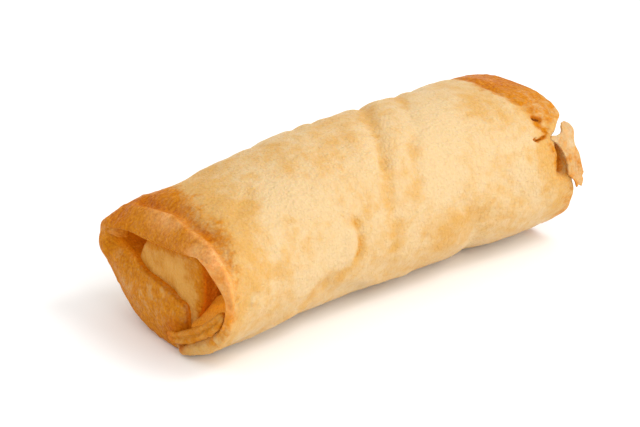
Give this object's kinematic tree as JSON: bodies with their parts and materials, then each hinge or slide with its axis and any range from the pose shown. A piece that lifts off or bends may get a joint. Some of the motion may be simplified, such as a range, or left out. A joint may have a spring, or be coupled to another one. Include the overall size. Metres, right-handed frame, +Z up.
{
  "type": "fried spring roll",
  "caption": "Whole fried spring roll: a crisp golden wrapper rolled round its filling, the ends folded in, one end flattened and browned, the other brown-rimmed with brittle broken flakes.",
  "frame": {"origin": "centre of the footprint, at the level the roll rests on", "axes": "+X along the roll, from the flattened folded end to the end with the broken flakes; +Z up"},
  "size_m": [0.0986, 0.0437, 0.0348],
  "materials": {
    "wrapper": "crisp fried wrapper, pale straw to gold, finely blistered, slight oily gloss",
    "browned_wrapper": "browned fried wrapper at folds and rims, finely blistered, slight oily gloss",
    "inner_layer": "inner wrapper layers in the end pockets, tan to deep orange-brown, matt",
    "flake": "thin brittle pale flakes of the wrapper, brown at their broken edges"
  },
  "bodies": {
    "root": {"roll": "wrapper"}
  },
  "joints": []
}
